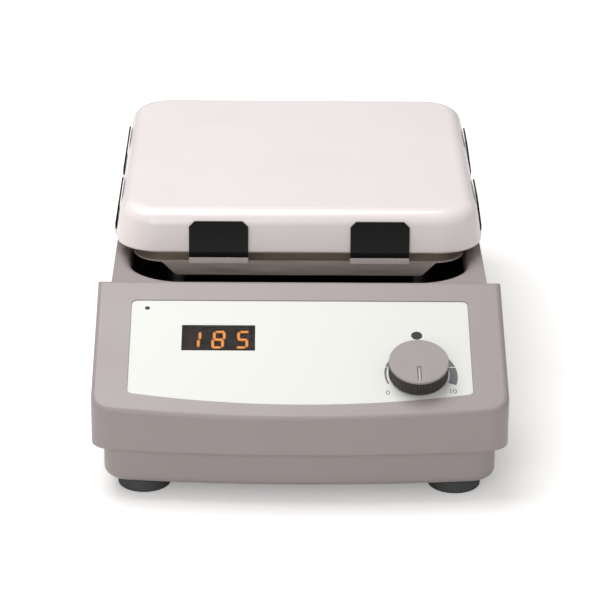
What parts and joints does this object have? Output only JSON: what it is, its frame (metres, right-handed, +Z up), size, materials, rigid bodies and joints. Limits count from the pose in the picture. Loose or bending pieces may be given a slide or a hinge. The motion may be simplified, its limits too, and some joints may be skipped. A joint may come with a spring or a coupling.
{
  "type": "digital hotplate",
  "caption": "Low bench hotplate with a white square heated plate held by black spring clips, a sloping front panel with a digital display and one ribbed push-and-turn knob.",
  "frame": {"origin": "on the bench surface, under the middle of the bounding box of the whole hotplate", "axes": "+Z up, the sloping control panel faces -Y, +X to the right of someone who faces the panel"},
  "size_m": [0.215, 0.36, 0.112],
  "materials": {
    "painted_housing": "satin light grey paint",
    "white_overlay": "fine matt white overlay",
    "smoked_window": "smoked dark red window",
    "black_plastic": "fine matt",
    "black_gloss": "glossy",
    "lit_segment": "glowing amber",
    "dark_segment": "unlit dull red",
    "lamp_lens": "dark lens, unlit",
    "circuit_board": "green solder mask",
    "zinc_steel": "zinc-plated",
    "brass_neck": "plain turned",
    "grey_knob": "satin moulded grey",
    "transformer_core": "varnished laminations",
    "capacitor_sleeve": "shrink sleeve",
    "bare_aluminium": "plain",
    "terminal_plastic": "moulded",
    "black_enamel": "heat-proof satin black",
    "polished_stainless": "bright stainless sheet",
    "ceramic_fibre": "matt fibre board",
    "heater_sheath": "oxidised sheath",
    "white_enamel": "glossy white enamel",
    "black_clip": "glossy black coat on spring steel",
    "foot_rubber": "grey rubber",
    "fuse_glass": "clear glass tube"
  },
  "bodies": {
    "housing": {"capacitor": "capacitor_sleeve", "clip_screws": "zinc_steel", "control_board": "circuit_board", "control_board_screws": "zinc_steel", "display_dark_segments": "dark_segment", "display_lit_segments": "lit_segment", "display_module": "black_plastic", "display_window": "smoked_window", "encoder_bushing": "brass_neck", "encoder_housing": "zinc_steel", "encoder_nut": "brass_neck", "encoder_washer": "zinc_steel", "foot_front_left": "foot_rubber", "foot_front_right": "foot_rubber", "foot_rear_left": "foot_rubber", "foot_rear_right": "foot_rubber", "foot_screws": "zinc_steel", "front_panel": "white_overlay", "heat_lamp": "lamp_lens", "heat_shield_tray": "polished_stainless", "heater_base": "ceramic_fibre", "heater_coil": "heater_sheath", "housing_screws": "zinc_steel", "inlet_pins": "brass_neck", "insulation_block": "ceramic_fibre", "lower_housing": "painted_housing", "plate_clip_front_left": "black_clip", "plate_clip_front_right": "black_clip", "plate_clip_left_front": "black_clip", "plate_clip_left_rear": "black_clip", "plate_clip_rear_left": "black_clip", "plate_clip_rear_right": "black_clip", "plate_clip_right_front": "black_clip", "plate_clip_right_rear": "black_clip", "power_board": "circuit_board", "power_board_screws": "zinc_steel", "power_heatsink": "bare_aluminium", "power_inlet": "black_plastic", "power_lamp": "lamp_lens", "probe_spring": "polished_stainless", "rear_panel": "black_plastic", "rod_socket": "bare_aluminium", "rod_socket_nut": "zinc_steel", "switch_body": "black_plastic", "temperature_probe": "polished_stainless", "terminal_block": "terminal_plastic", "top_plate": "white_enamel", "transformer": "transformer_core", "tray_post_front_left": "zinc_steel", "tray_post_front_right": "zinc_steel", "tray_post_rear_left": "zinc_steel", "tray_post_rear_right": "zinc_steel", "upper_housing": "painted_housing", "well_liner": "black_enamel"},
    "encoder_press": {"encoder_plunger": "black_plastic"},
    "knob": {"control_knob": "grey_knob", "encoder_shaft": "zinc_steel"},
    "rocker": {"switch_rocker": "black_gloss"},
    "fuse_tray": {"fuse_drawer": "black_plastic", "fuse": "fuse_glass"}
  },
  "joints": [
    {"name": "knob_press", "type": "slide", "parent": "housing", "child": "encoder_press", "axis": [0, 0.3819, -0.9242], "range_m": [0, 0.0005], "stiffness_N_per_m": 4000},
    {"name": "knob_turn", "type": "hinge", "parent": "encoder_press", "child": "knob", "pos_m": [0.061, -0.1508, 0.06167], "axis": [0, -0.3819, 0.9242], "continuous": true},
    {"name": "mains_switch", "type": "hinge", "parent": "housing", "child": "rocker", "pos_m": [0.034, 0.1763, 0.054], "axis": [1, 0, 0], "range_deg": [0, 16]},
    {"name": "fuse_drawer_slide", "type": "slide", "parent": "housing", "child": "fuse_tray", "axis": [0, 1, 0], "range_m": [0, 0.012]}
  ]
}
